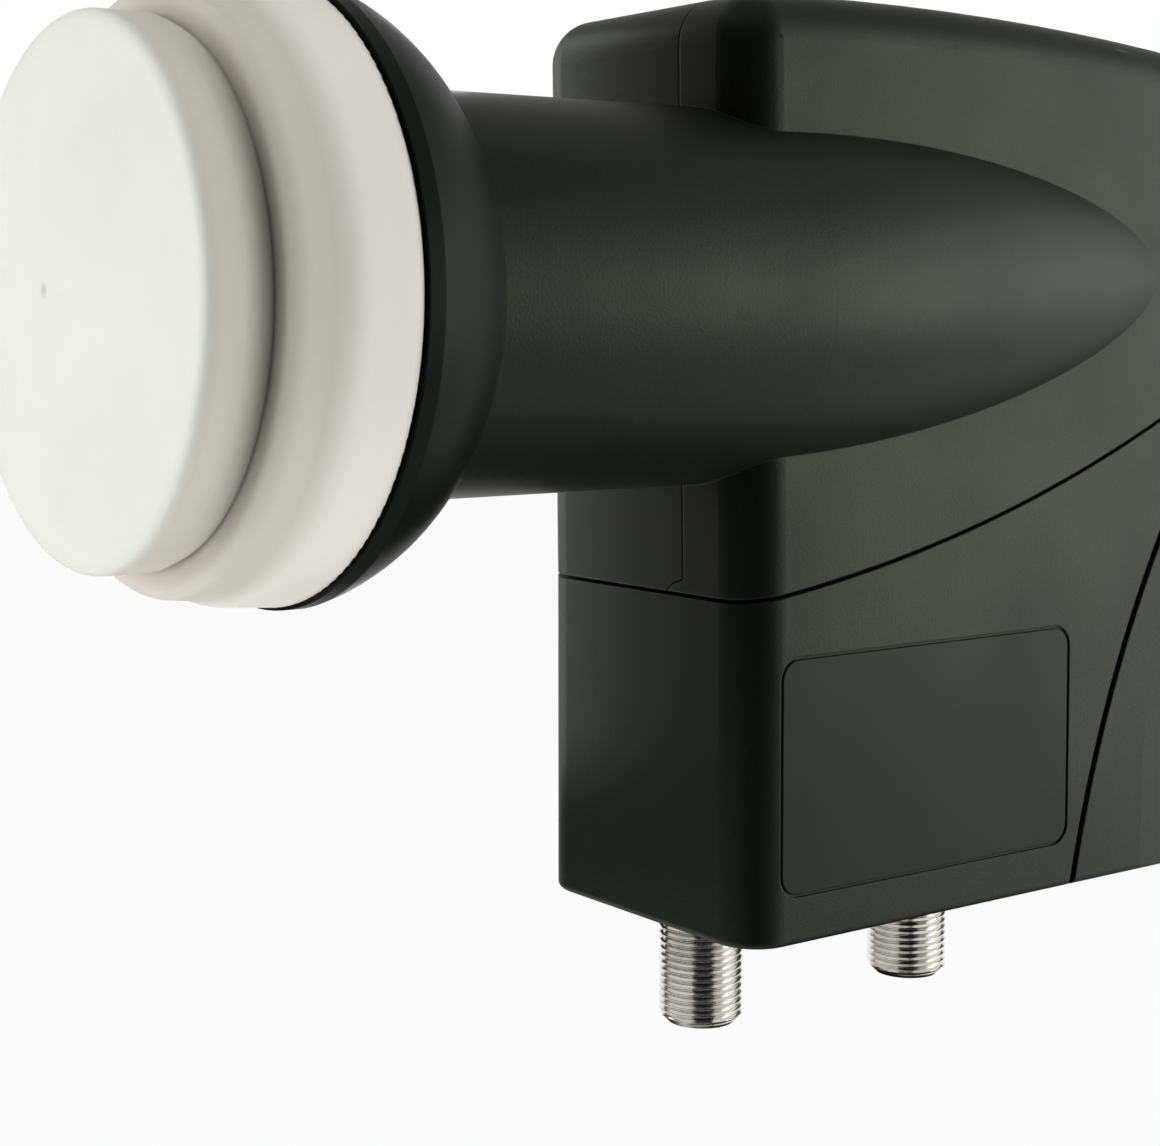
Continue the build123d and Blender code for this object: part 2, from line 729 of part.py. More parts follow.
with BuildPart() as chassis:
    with BuildSketch(Plane.YZ.offset(tray_rim_x)):
        with Locations(tray_mid):
            Rectangle(*tray_size)
    extrude(amount=tray_floor_x - tray_rim_x)
    with BuildSketch(Plane.YZ.offset(tray_rim_x)):
        with Locations((tray_mid[0], (well_top_z + tray_bottom_z) / 2)):
            Rectangle(tray_size[0], well_top_z - tray_bottom_z)
    extrude(amount=well_x - tray_rim_x)
    with BuildSketch(Plane.YZ.offset(tray_rim_x)):
        with Locations(hollow_mid):
            Rectangle(*hollow_size)
    extrude(amount=tray_floor_in_x - tray_rim_x, mode=Mode.SUBTRACT)
    with BuildSketch(Plane.YZ.offset(tray_floor_in_x)):
        with Locations((tray_mid[0], (well_in_z1 + hollow_z0) / 2)):
            Rectangle(hollow_size[0], well_in_z1 - hollow_z0)
    extrude(amount=well_x - well_floor_t - tray_floor_in_x, mode=Mode.SUBTRACT)
    with BuildSketch(Plane.YZ.offset(tray_rim_x)):
        with Locations(*boss_places):
            Circle(boss_r)
    extrude(amount=tray_floor_in_x - tray_rim_x)
    with BuildSketch(Plane.YZ.offset(tray_floor_in_x)):
        with Locations(((conn_y0 + conn_y1) / 2, (well_in_z1 + hollow_z0) / 2)):
            Circle(boss_r)
    extrude(amount=well_x - well_floor_t / 2 - tray_floor_in_x)
    with BuildSketch(Plane.YZ.offset(tray_rim_x)):
        with Locations(*boss_places):
            Circle(cover_screw_r + pin_fit)
    extrude(amount=tray_floor_in_x - tray_rim_x, mode=Mode.SUBTRACT)
    with BuildSketch(Plane.XY):
        with BuildLine():
            Polyline(
                (aperture_r, aperture_y),
                (lip_r, aperture_y),
                (lip_r, flange_front_y),
                (ring_in_r, flange_front_y),
                (ring_in_r, ring_y),
                (ring_out_r, ring_y),
                (ring_out_r, flange_front_y),
                (flange_r, flange_front_y),
                (flange_r, seal_y - 1.1 * seal_r),
                (flange_r + cap_fit - 2 * seal_r, seal_y - 1.1 * seal_r),
                (flange_r + cap_fit - 2 * seal_r, seal_y + 1.1 * seal_r),
                (flange_r, seal_y + 1.1 * seal_r),
                (flange_r, flange_rear_y),
                (horn_rib_r, flange_rear_y),
                (horn_rib_r, flange_front_y + horn_web),
                (horn_back_r, flange_front_y + horn_web),
                (guide_out_r, horn_neck_y),
                (guide_out_r, guide_end_y + guide_back),
                (0, guide_end_y + guide_back),
                (0, throat_y),
                (guide_r, throat_y),
                close=True,
            )
        make_face()
    revolve(axis=Axis.Y)
    with BuildSketch(Plane.XZ.offset(-throat_y)):
        Circle(guide_r)
    extrude(amount=throat_y - guide_end_y, mode=Mode.SUBTRACT)
    # Pin and sleeve holes in the waveguide wall
    with BuildSketch(Plane.YZ.offset(tray_floor_in_x)):
        with Locations((probe_a_y, 0), (probe_b_y, 0)):
            Circle(sleeve_r + pin_fit)
    extrude(amount=tray_floor_t + 2 * sleeve_over, mode=Mode.SUBTRACT)
    with BuildSketch(Plane.YZ.offset(-guide_r - guide_wall / 2)):
        with Locations((septum_y, 0)):
            Circle(septum_r + pin_fit)
    extrude(amount=2 * guide_out_r, mode=Mode.SUBTRACT)
    # Connector holes in the bottom wall
    with BuildSketch(Plane.XY.offset(tray_bottom_z)):
        with Locations(*conn_places):
            Circle(conn_spigot_r + pin_fit)
    extrude(amount=tray_bottom_t, mode=Mode.SUBTRACT)
chassis.part.label = "chassis"
export_step(chassis.part, "parts/chassis.step")

# Cross pin between the probes
with BuildPart() as septum_pin:
    with BuildSketch(Plane.YZ.offset(-guide_r - guide_wall / 2)):
        with Locations((septum_y, 0)):
            Circle(septum_r)
    extrude(amount=2 * guide_r + 1.5 * guide_wall)
septum_pin.part.label = "septum_pin"
export_step(septum_pin.part, "parts/septum_pin.step")

# Straight probe, soldered to the board
with BuildPart() as probe_straight:
    with BuildSketch(Plane.YZ.offset(pcb_x - solder_h)):
        with Locations((probe_a_y, 0)):
            Circle(solder_r)
    extrude(amount=solder_h)
    with BuildSketch(Plane.YZ.offset(pcb_x - solder_h)):
        with Locations((probe_a_y, 0)):
            Circle(probe_r)
    extrude(amount=probe_tip_x - pcb_x + solder_h)
probe_straight.part.label = "probe_straight"
export_step(probe_straight.part, "parts/probe_straight.step")

# Bent probe for the other polarity
with BuildPart() as probe_bent:
    with BuildSketch(Plane.YZ.offset(pcb_x - solder_h)):
        with Locations((probe_b_y, 0)):
            Circle(solder_r)
    extrude(amount=solder_h)
    with BuildLine():
        b0 = (pcb_x - solder_h, probe_b_y, 0)
        b1 = (probe_tip_x, probe_b_y, 0)
        b2 = (probe_tip_x, probe_b_y, probe_b_tip_z)
        FilletPolyline(b0, b1, b2, radius=bend_r)
    with BuildSketch(Plane.YZ.offset(pcb_x - solder_h)):
        with Locations((probe_b_y, 0)):
            Circle(probe_r)
    sweep()
probe_bent.part.label = "probe_bent"
export_step(probe_bent.part, "parts/probe_bent.step")

# Insulating sleeves of the probes
with BuildPart() as probe_sleeves:
    with BuildSketch(Plane.YZ.offset(tray_floor_in_x)):
        with Locations((probe_a_y, 0), (probe_b_y, 0)):
            Circle(sleeve_r)
            Circle(probe_r + pin_fit, mode=Mode.SUBTRACT)
    extrude(amount=tray_floor_t + sleeve_over)
probe_sleeves.part.label = "probe_sleeves"
export_step(probe_sleeves.part, "parts/probe_sleeves.step")

# Converter board
with BuildPart() as pcb:
    with BuildSketch(Plane.YZ.offset(pcb_x)):
        with Locations((tray_mid[0], (hollow_z1 - pcb_edge + pcb_z0) / 2)):
            Rectangle(hollow_size[0] - 2 * pcb_edge, hollow_z1 - pcb_edge - pcb_z0)
        with Locations(*boss_places):
            Circle(boss_r + pcb_edge, mode=Mode.SUBTRACT)
        with Locations((probe_a_y, 0), (probe_b_y, 0)):
            Circle(probe_r + pin_fit, mode=Mode.SUBTRACT)
        with Locations(*solder_places):
            Circle(contact_wire_r + pin_fit, mode=Mode.SUBTRACT)
    extrude(amount=pcb_t)
pcb.part.label = "pcb"
export_step(pcb.part, "parts/pcb.step")

with BuildPart() as ic_chips:
    with BuildSketch(Plane.YZ.offset(pcb_x)):
        with Locations(
            (tray_mid[0] - chip_dy, tray_mid[1] + chip_dz),
            (tray_mid[0] + chip_dy, tray_mid[1] - chip_dz),
        ):
            Rectangle(chip_w, chip_w)
    extrude(amount=-chip_h)
    chamfer(ic_chips.edges().group_by(Axis.X)[0], chip_edge)
ic_chips.part.label = "ic_chips"
export_step(ic_chips.part, "parts/ic_chips.step")

with BuildPart() as crystal_can:
    with BuildSketch(Plane.YZ.offset(pcb_x)):
        with Locations((tray_mid[0] + crystal_dy, tray_mid[1] + crystal_dz)):
            RectangleRounded(crystal_l, crystal_w, crystal_r)
    extrude(amount=-crystal_h)
crystal_can.part.label = "crystal_can"
export_step(crystal_can.part, "parts/crystal_can.step")

with BuildPart() as regulators:
    with BuildSketch(Plane.YZ.offset(pcb_x)):
        with Locations((tray_mid[0] - reg_dy, boss_low_z), (tray_mid[0] + reg_dy, boss_low_z)):
            Rectangle(reg_l, reg_w)
    extrude(amount=-reg_h)
    chamfer(regulators.edges().group_by(Axis.X)[0], reg_edge)
regulators.part.label = "regulators"
export_step(regulators.part, "parts/regulators.step")

with BuildPart() as capacitors:
    with BuildSketch(Plane.YZ.offset(pcb_x)):
        with Locations(
            (tray_mid[0] - reg_dy, boss_low_z + can_dz),
            (tray_mid[0] + reg_dy, boss_low_z + can_dz),
        ):
            Circle(can_r)
    extrude(amount=-can_h)
    fillet(capacitors.edges().group_by(Axis.X)[0], can_edge)
capacitors.part.label = "capacitors"
export_step(capacitors.part, "parts/capacitors.step")

# Gasket, cover and screws of the tray
with BuildPart() as cover_gasket:
    with BuildSketch(Plane.YZ.offset(cover_in_x)):
        with Locations(tray_mid):
            Rectangle(*tray_size)
        with Locations(hollow_mid):
            Rectangle(*hollow_size, mode=Mode.SUBTRACT)
        with Locations(*boss_places):
            Circle(boss_r)
        with Locations(*boss_places):
            Circle(cover_screw_r + pin_fit, mode=Mode.SUBTRACT)
    extrude(amount=gasket_t)
cover_gasket.part.label = "cover_gasket"
export_step(cover_gasket.part, "parts/cover_gasket.step")

with BuildPart() as rf_cover:
    with BuildSketch(Plane.YZ.offset(cover_out_x)):
        with Locations(tray_mid):
            Rectangle(*tray_size)
        with Locations(*boss_places):
            Circle(cover_screw_r + pin_fit, mode=Mode.SUBTRACT)
    extrude(amount=cover_t)
rf_cover.part.label = "rf_cover"
export_step(rf_cover.part, "parts/rf_cover.step")

with BuildPart() as cover_screws:
    with BuildSketch(Plane.YZ.offset(cover_out_x)):
        with Locations(*boss_places):
            Circle(cover_head_r)
    extrude(amount=-cover_head_h)
    fillet(cover_screws.edges().group_by(Axis.X)[0], cover_head_edge)
    with BuildSketch(Plane.YZ.offset(cover_out_x)):
        with Locations(*boss_places):
            Circle(cover_screw_r)
    extrude(amount=tray_floor_in_x - cover_out_x - cover_screw_tip)
cover_screws.part.label = "cover_screws"
export_step(cover_screws.part, "parts/cover_screws.step")

# Threaded connectors: body, insulator, contact and flat seal
insulator_z1 = tray_bottom_z + insulator_up
spigot_z1 = tray_bottom_z + tray_bottom_t - conn_spigot_end
with BuildPart() as connector_bodies:
    with BuildPart(mode=Mode.PRIVATE) as one_body:
        with BuildSketch(Plane.XZ):
            with BuildLine():
                Polyline(
                    (conn_bore_r, conn_tip_z),
                    (conn_r - conn_edge, conn_tip_z),
                    (conn_r, conn_tip_z + conn_edge),
                    (conn_r, conn_thread_z),
                    (conn_relief_r, conn_thread_z),
                    (conn_relief_r, seal_top_z),
                    (conn_flange_r, seal_top_z),
                    (conn_flange_r, flange_top_z),
                    (conn_spigot_r, flange_top_z),
                    (conn_spigot_r, spigot_z1),
                    (conn_bore_r / 2, spigot_z1),
                    (conn_bore_r / 2, insulator_z1),
                    (conn_bore_r, insulator_z1),
                    close=True,
                )
            make_face()
        revolve(axis=Axis.Z)
    with Locations(*[(x, y, 0) for x, y in conn_places]):
        add(one_body.part)
connector_bodies.part.label = "connector_bodies"
export_step(connector_bodies.part, "parts/connector_bodies.step")

with BuildPart() as connector_insulators:
    with BuildSketch(Plane.XY.offset(conn_tip_z + conn_recess)):
        with Locations(*conn_places):
            Circle(conn_bore_r - pin_fit)
            Circle(contact_r + pin_fit, mode=Mode.SUBTRACT)
    extrude(amount=insulator_z1 - conn_tip_z - conn_recess)
connector_insulators.part.label = "connector_insulators"
export_step(connector_insulators.part, "parts/connector_insulators.step")

with BuildPart() as connector_contacts:
    with BuildSketch(Plane.XY.offset(contact_tip_z)):
        with Locations(*conn_places):
            Circle(contact_r)
    extrude(amount=insulator_z1 - contact_tip_z)
    with BuildSketch(Plane.XY.offset(insulator_z1)):
        with Locations(*conn_places):
            Circle(1.5 * contact_r)
    extrude(amount=contact_r / 2)
    with BuildSketch(Plane.XY.offset(contact_tip_z)):
        with Locations(*conn_places):
            Circle(contact_hole_r)
    extrude(amount=contact_hole_h, mode=Mode.SUBTRACT)
    for x, y in conn_places:
        with BuildLine():
            FilletPolyline(
                (x, y, insulator_z1),
                (x, y, contact_leg_z),
                (pcb_x - solder_h, y, contact_leg_z),
                radius=bend_r,
            )
        with BuildSketch(Plane.XY.offset(insulator_z1)):
            with Locations((x, y)):
                Circle(contact_wire_r)
        sweep()
    with BuildSketch(Plane.YZ.offset(pcb_x - solder_h)):
        with Locations(*solder_places):
            Circle(solder_r)
    extrude(amount=solder_h)
connector_contacts.part.label = "connector_contacts"
export_step(connector_contacts.part, "parts/connector_contacts.step")

with BuildPart() as connector_seals:
    with BuildSketch(Plane.XY.offset(floor_top_z)):
        with Locations(*conn_places):
            Circle(conn_flange_r)
            Circle(conn_relief_r + pin_fit, mode=Mode.SUBTRACT)
    extrude(amount=seal_top_z - floor_top_z)
connector_seals.part.label = "connector_seals"
export_step(connector_seals.part, "parts/connector_seals.step")
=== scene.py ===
import json
import math

import bmesh
import bpy
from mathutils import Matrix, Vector


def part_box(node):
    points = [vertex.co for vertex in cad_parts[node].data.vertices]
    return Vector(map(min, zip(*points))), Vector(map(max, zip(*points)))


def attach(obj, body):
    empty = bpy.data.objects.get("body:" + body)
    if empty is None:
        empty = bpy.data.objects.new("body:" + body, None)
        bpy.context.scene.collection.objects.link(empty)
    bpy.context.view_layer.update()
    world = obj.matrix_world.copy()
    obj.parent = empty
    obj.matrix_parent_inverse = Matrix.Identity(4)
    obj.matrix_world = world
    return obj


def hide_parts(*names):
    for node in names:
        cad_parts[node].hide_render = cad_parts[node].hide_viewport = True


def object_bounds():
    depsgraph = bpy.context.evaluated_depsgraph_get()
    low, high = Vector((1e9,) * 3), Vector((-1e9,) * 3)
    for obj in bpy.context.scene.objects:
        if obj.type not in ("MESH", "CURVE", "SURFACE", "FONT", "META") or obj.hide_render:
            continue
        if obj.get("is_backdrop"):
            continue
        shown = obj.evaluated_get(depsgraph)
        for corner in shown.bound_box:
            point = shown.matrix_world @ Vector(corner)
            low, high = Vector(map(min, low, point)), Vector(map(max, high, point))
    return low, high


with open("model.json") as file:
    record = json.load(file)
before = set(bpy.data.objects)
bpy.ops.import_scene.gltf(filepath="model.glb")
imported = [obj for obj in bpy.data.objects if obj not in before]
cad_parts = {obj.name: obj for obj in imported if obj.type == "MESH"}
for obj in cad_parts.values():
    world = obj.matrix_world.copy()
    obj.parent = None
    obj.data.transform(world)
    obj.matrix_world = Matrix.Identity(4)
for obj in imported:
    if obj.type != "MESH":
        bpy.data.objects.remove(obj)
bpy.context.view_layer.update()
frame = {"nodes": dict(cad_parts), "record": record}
nodes = frame["nodes"]
scene = bpy.context.scene
scene.view_settings.view_transform = "Standard"

# Camera fitted to the photo's frame of 1160 by 1146 pixels. Its slight tilt keeps the lens shift
# small, so that other views show the whole part.
PHOTO_W, PHOTO_H = 1160, 1146
FOCAL_PX, CENTRE_X, CENTRE_Y = 2215.6, 500, 460
SENSOR_MM, NEAREST = 36, 0.005
CAMERA_AT, CAMERA_TURN = (0.182351, -0.13255, -0.002083), (86.308, 0.158, 54.997)
cam_data = bpy.data.cameras.new("camera")
cam = bpy.data.objects.new("camera", cam_data)
scene.collection.objects.link(cam)
cam.location = CAMERA_AT
cam.rotation_euler = [math.radians(a) for a in CAMERA_TURN]
cam_data.sensor_width = SENSOR_MM
cam_data.lens = FOCAL_PX * SENSOR_MM / PHOTO_W
cam_data.shift_x = (PHOTO_W / 2 - CENTRE_X) / PHOTO_W
cam_data.shift_y = -(PHOTO_H / 2 - CENTRE_Y) / PHOTO_W
cam_data.clip_start = NEAREST
scene.camera = cam


# Material helpers
def node(tree, kind, inputs=None, **values):
    """A new shader node with its properties and its unlinked inputs set."""
    n = tree.nodes.new(kind)
    for key, value in values.items():
        setattr(n, key, value)
    for key, value in (inputs or {}).items():
        n.inputs[key].default_value = value
    return n


class Graph:
    """A node material on the Principled shader, with short calls for what the materials share."""

    def __init__(self, name):
        self.mat = bpy.data.materials.new(name)
        self.mat.use_nodes = True
        self.tree = self.mat.node_tree
        self.bsdf = self.tree.nodes["Principled BSDF"]
        self.obj = node(self.tree, "ShaderNodeTexCoord").outputs["Object"]

    def put(self, socket, value):
        self.bsdf.inputs[socket].default_value = value

    def link(self, a, b):
        self.tree.links.new(a, b)

    def noise(self, scale, detail=3.0, rough=0.55, vector=None):
        n = node(self.tree, "ShaderNodeTexNoise",
                 {"Scale": scale, "Detail": detail, "Roughness": rough})
        self.link(vector or self.obj, n.inputs["Vector"])
        return n.outputs["Fac"]

    def stretch(self, x, y, z):
        n = node(self.tree, "ShaderNodeMapping", {"Scale": (x, y, z)})
        self.link(self.obj, n.inputs["Vector"])
        return n.outputs["Vector"]

    def ramp(self, fac, lo, hi, a=0.0, b=1.0):
        n = node(self.tree, "ShaderNodeMapRange",
                 {"From Min": lo, "From Max": hi, "To Min": a, "To Max": b})
        self.link(fac, n.inputs["Value"])
        return n.outputs["Result"]

    def math(self, op, a, b=None):
        n = node(self.tree, "ShaderNodeMath", operation=op)
        for socket, v in zip(n.inputs, (a, b)):
            if isinstance(v, (int, float)):
                socket.default_value = v
            elif v is not None:
                self.link(v, socket)
        return n.outputs[0]

    def times(self, a, b):
        return self.math("MULTIPLY", a, b)

    def distance(self, a, b):
        """How far the point a, b lies from 0, 0."""
        return self.math("SQRT", self.math("ADD", self.times(a, a), self.times(b, b)))

    def mix(self, fac, a, b):
        n = node(self.tree, "ShaderNodeMix", data_type="RGBA")
        self.link(fac, n.inputs["Factor"])
        colour_a, colour_b, result = n.inputs[6], n.inputs[7], n.outputs[2]
        for v, socket in ((a, colour_a), (b, colour_b)):
            if isinstance(v, tuple):
                socket.default_value = (*v, 1)
            else:
                self.link(v, socket)
        return result

    def xyz(self):
        n = node(self.tree, "ShaderNodeSeparateXYZ")
        self.link(self.obj, n.inputs[0])
        return n.outputs

    def soft_normal(self, radius):
        """The surface normal with sharp edges rounded off."""
        return node(self.tree, "ShaderNodeBevel", {"Radius": radius}, samples=4).outputs[0]

    def edges(self, radius):
        """0 on open faces, rising to 1 near a sharp edge, and the rounded normal itself."""
        soft = self.soft_normal(radius)
        plain = node(self.tree, "ShaderNodeNewGeometry").outputs["Normal"]
        dot = node(self.tree, "ShaderNodeVectorMath", operation="DOT_PRODUCT")
        self.link(soft, dot.inputs[0])
        self.link(plain, dot.inputs[1])
        return self.ramp(dot.outputs["Value"], 0.995, 0.8), soft

    def bump(self, height, strength, distance, normal=None):
        n = node(self.tree, "ShaderNodeBump", {"Strength": strength, "Distance": distance})
        self.link(height, n.inputs["Height"])
        if normal is not None:
            self.link(normal, n.inputs["Normal"])
        self.link(n.outputs[0], self.bsdf.inputs["Normal"])

    def colour(self, socket):
        self.link(socket, self.bsdf.inputs["Base Color"])

    def rough(self, socket):
        self.link(socket, self.bsdf.inputs["Roughness"])


GREEN_TINT, COOL_TINT = (0.86, 1.0, 0.74), (0.72, 1.0, 0.76)


def plastic(name, dark, light, worn_and_lit, rough, specular, grain, depth, edge, tint=GREEN_TINT):
    """Moulded plastic: clouded colour, spark-eroded grain, paler edges that are partly rubbed wear and
    partly painted edge highlight.
    """
    g = Graph(name)
    g.put("Specular IOR Level", specular)
    g.put("Specular Tint", (*tint, 1.0))
    cloud = g.ramp(g.noise(45, 4), 0.3, 0.7)
    fine = g.noise(grain, 2, 0.6)
    near_edge, normal = g.edges(edge)
    speck = g.mix(g.ramp(fine, 0.35, 0.7), dark, light)
    base = g.mix(g.times(cloud, 0.5), speck, dark)
    # Paler edges: rubbed wear in noisy patches, together with a painted highlight along the edges
    rub_and_highlight = g.times(near_edge, g.ramp(g.noise(260, 3), 0.35, 0.65, 0.25, 0.8))
    g.colour(g.mix(rub_and_highlight, base, worn_and_lit))
    g.rough(g.math("ADD", g.times(fine, 0.10), g.ramp(cloud, 0, 1, rough - 0.08, rough)))
    g.bump(fine, 0.35, depth, normal)
    return g.mat


def metal(name, base, shade, rough, lines):
    """Plated or bare metal with fine working lines and dulled patches."""
    g = Graph(name)
    g.put("Metallic", 1.0)
    dull = g.ramp(g.noise(160, 4), 0.35, 0.7)
    brushed = g.noise(900, 2, 0.5, g.stretch(*lines))
    near_edge, normal = g.edges(0.00008)
    tone = g.mix(g.times(dull, 0.6), base, shade)
    g.colour(g.mix(g.times(near_edge, 0.35), tone, (0.9, 0.89, 0.86)))
    patches = g.ramp(dull, 0, 1, rough, rough + 0.14)
    g.rough(g.math("ADD", patches, g.ramp(brushed, 0, 1, -0.05, 0.05)))
    g.bump(brushed, 0.15, 0.00002, normal)
    return g.mat


anthracite = plastic(
    "moulded_anthracite", dark=(0.003, 0.0036, 0.0026), light=(0.0052, 0.006, 0.0046),
    worn_and_lit=(0.012, 0.0135, 0.0105), rough=0.45, specular=0.25, grain=3600, depth=0.00006, edge=0.00025)
shroud_black = plastic(
    "shroud_satin", dark=(0.003, 0.0036, 0.0026), light=(0.005, 0.0058, 0.0044),
    worn_and_lit=(0.009, 0.01, 0.008), rough=0.4, specular=0.11, grain=5200, depth=0.00002, edge=0.0002,
    tint=COOL_TINT)
label_grey = plastic(
    "label_satin", dark=(0.0038, 0.0044, 0.0038), light=(0.0052, 0.0058, 0.0052),
    worn_and_lit=(0.02, 0.0215, 0.0195), rough=0.42, specular=0.17, grain=5200, depth=0.00002, edge=0.0001)
rubber = plastic(
    "seal_rubber", dark=(0.012, 0.012, 0.012), light=(0.02, 0.02, 0.02),
    worn_and_lit=(0.03, 0.03, 0.03), rough=0.75, specular=0.25, grain=2600, depth=0.00004, edge=0.0001)
insulator = plastic(
    "insulator_white", dark=(0.72, 0.71, 0.65), light=(0.8, 0.79, 0.73),
    worn_and_lit=(0.85, 0.84, 0.8), rough=0.4, specular=0.5, grain=3000, depth=0.00001, edge=0.0001)
chip = plastic(
    "chip_epoxy", dark=(0.008, 0.008, 0.009), light=(0.014, 0.014, 0.015),
    worn_and_lit=(0.03, 0.03, 0.03), rough=0.55, specular=0.4, grain=6000, depth=0.00002, edge=0.0001)
nickel = metal(
    "nickel_plate", base=(0.84, 0.82, 0.78), shade=(0.66, 0.64, 0.6), rough=0.14, lines=(1, 1, 6))
steel = metal(
    "screw_steel", base=(0.58, 0.58, 0.57), shade=(0.42, 0.42, 0.42), rough=0.26, lines=(1, 1, 4))
brass = metal(
    "pin_brass", base=(0.72, 0.52, 0.2), shade=(0.55, 0.38, 0.14), rough=0.22, lines=(1, 4, 4))
cast_alloy = metal(
    "cast_metal", base=(0.55, 0.56, 0.57), shade=(0.42, 0.43, 0.44), rough=0.4, lines=(1, 1, 1))

# White cap polymer. The face has faint mould rings and a small gate mark. The side is warmer, and
# darker than the face with painted shade. The rim behind the ridge is paler with painted light, and
# painted shade darkens the foot of the groove behind the face, most on the +x side.
GATE_X, GATE_Z, GATE_CORE, GATE_R = -0.0047, 0.00045, 0.0003, 0.0009
FACE_Y, FACE_FADE, RIDGE_Y, RIDGE_FADE = -0.0506, 0.001, -0.0405, 0.002
# The groove foot, and the reach and x range of the painted shade around it
FOOT_R, FOOT_Y, GROOVE_SHADE_REACH, GROOVE_SHADE_FROM_X, GROOVE_SHADE_FULL_X = 0.02445, -0.044, 0.0032, 0.012, 0.0236
FACE_WHITE, FACE_SHADE, RING_TONE = (0.80, 0.815, 0.765), (0.765, 0.775, 0.72), (0.7, 0.69, 0.64)
# Painted shade: the side colours are darker than the face's, over a warmer tint
WARM_SHADED_WHITE, WARM_SHADED_CLOUD = (0.675, 0.648, 0.58), (0.645, 0.618, 0.55)
# Painted light: the rim colours behind the ridge are paler than the face's
RIM_LIT_WHITE, RIM_LIT_CLOUD = (0.87, 0.85, 0.785), (0.84, 0.82, 0.755)
# Tone of the painted shade in the groove, and of the gate mark
GROOVE_SHADE_TONE, GATE_TONE = (0.2, 0.186, 0.155), (0.42, 0.41, 0.38)
CAP_EDGE = 0.0016
g = Graph("cap_polymer")
g.put("Specular IOR Level", 0.35)
g.put("Subsurface Weight", 0.12)
g.put("Subsurface Radius", (0.0012, 0.0012, 0.001))
g.put("Subsurface Scale", 1.0)
x, y, z = g.xyz()
cloud = g.ramp(g.noise(60, 4), 0.3, 0.7)
half_cloud = g.times(cloud, 0.5)
rings = g.noise(700, 3, 0.6, g.stretch(0.05, 1, 0.05))
face = g.mix(g.ramp(rings, 0.4, 0.75, 0, 0.35), g.mix(half_cloud, FACE_WHITE, FACE_SHADE), RING_TONE)
# The side, darker with painted shade, turns paler with painted light behind the ridge
side = g.mix(g.ramp(y, RIDGE_Y, RIDGE_Y + RIDGE_FADE),
             g.mix(half_cloud, WARM_SHADED_WHITE, WARM_SHADED_CLOUD), g.mix(half_cloud, RIM_LIT_WHITE, RIM_LIT_CLOUD))
# Face colour in front, the side's painted shade and light behind
face_and_painted_sides = g.mix(g.ramp(y, FACE_Y, FACE_Y + FACE_FADE), face, side)
from_foot = g.distance(g.math("SUBTRACT", g.distance(x, z), FOOT_R), g.math("SUBTRACT", y, FOOT_Y))
# Painted shade at the groove foot, fading with distance from it and towards -x
groove_shade = g.times(g.ramp(from_foot, 0, GROOVE_SHADE_REACH, 1, 0), g.ramp(x, GROOVE_SHADE_FROM_X, GROOVE_SHADE_FULL_X))
groove_shaded = g.mix(g.times(groove_shade, g.ramp(cloud, 0, 1, 0.85, 1.0)), face_and_painted_sides, GROOVE_SHADE_TONE)
from_gate = g.distance(g.math("SUBTRACT", x, GATE_X), g.math("SUBTRACT", z, GATE_Z))
g.colour(g.mix(g.times(g.ramp(from_gate, GATE_CORE, GATE_R, 1, 0), 0.5), groove_shaded, GATE_TONE))
g.rough(g.ramp(g.noise(900, 3), 0.3, 0.7, 0.38, 0.5))
g.bump(g.math("ADD", g.times(rings, 0.6), g.noise(3200, 2)), 0.12, 0.00004, g.soft_normal(CAP_EDGE))
cap_white = g.mat

# Board laminate with a weave under the resist
g = Graph("board_resist")
weave = g.noise(2400, 2, 0.5, g.stretch(1, 1, 0.2))
cross = g.noise(2400, 2, 0.5, g.stretch(1, 0.2, 1))
cloth = g.times(weave, cross)
g.colour(g.mix(g.ramp(cloth, 0.15, 0.4), (0.012, 0.07, 0.026), (0.02, 0.11, 0.045)))
g.rough(g.ramp(cloth, 0.15, 0.4, 0.3, 0.42))
g.bump(cloth, 0.2, 0.00003)
board = g.mat

FINISH = {
    "cap_white": cap_white, "anthracite": anthracite, "shroud_black": shroud_black,
    "cast_alloy": cast_alloy, "nickel": nickel, "brass": brass, "rubber": rubber,
    "insulator": insulator, "board": board, "chip": chip, "steel": steel,
}
for part in frame["record"]["subparts"]:
    mesh = nodes[part["node"]].data
    if not mesh.materials:
        mesh.materials.append(None)
    for i in range(len(mesh.materials)):
        mesh.materials[i] = FINISH[part["material_slot"]]


def mesh_object(name, bm, material):
    mesh = bpy.data.meshes.new(name)
    bm.to_mesh(mesh)
    bm.free()
    mesh.materials.append(material)
    o = bpy.data.objects.new(name, mesh)
    scene.collection.objects.link(o)
    return o


SMOOTH_ANGLE = 0.5


def piece(name, bm, material, body):
    bmesh.ops.recalc_face_normals(bm, faces=bm.faces[:])
    o = mesh_object(name, bm, material)
    o.data.shade_smooth()
    o.data.set_sharp_from_angle(angle=SMOOTH_ANGLE)
    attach(o, body)
    return o


def bridge(bm, loops):
    """Quads between each closed loop of points and the next."""
    for a, b in zip(loops, loops[1:]):
        for i in range(len(a)):
            j = (i + 1) % len(a)
            bm.faces.new((a[i], a[j], b[j], b[i]))


